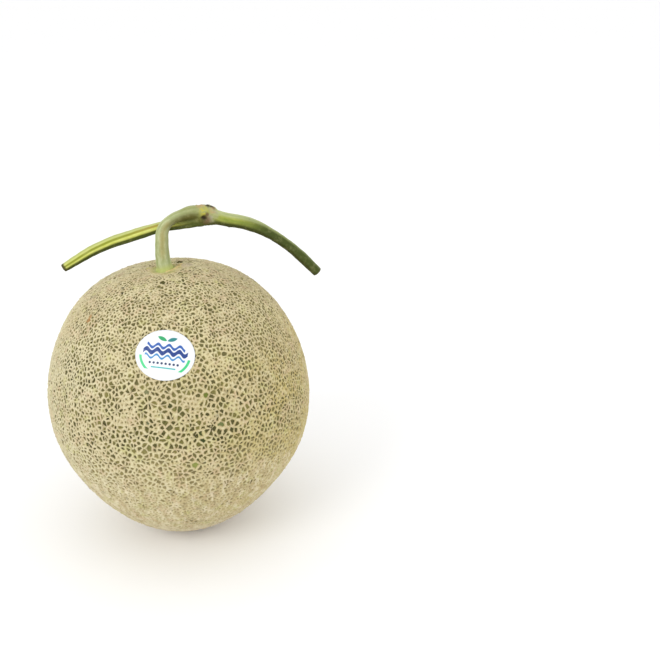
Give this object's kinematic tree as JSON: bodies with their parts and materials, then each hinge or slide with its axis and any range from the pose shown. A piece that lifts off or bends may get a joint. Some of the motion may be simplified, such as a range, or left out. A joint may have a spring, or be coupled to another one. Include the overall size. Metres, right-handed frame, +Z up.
{
  "type": "netted muskmelon",
  "caption": "Round netted melon standing on its blossom end, with a bent stalk, a T of cut vine on top and an oval label on its upper front.",
  "frame": {"origin": "centre of the small flat spot at the blossom end that the melon stands on", "axes": "+Z up, from the blossom end to the stalk; -Y faces the side with the label; +X is to the right as one faces that side, along the longer arm of vine"},
  "size_m": [0.1572, 0.1493, 0.1913],
  "materials": {
    "net": "matte tan cork net over olive green skin",
    "vine": "satin, grey green to yellow green, with brown scars",
    "label": "thin white film with a plain blue and green pattern"
  },
  "bodies": {
    "root": {"fruit": "net", "stem": "vine", "label": "label"}
  },
  "joints": []
}
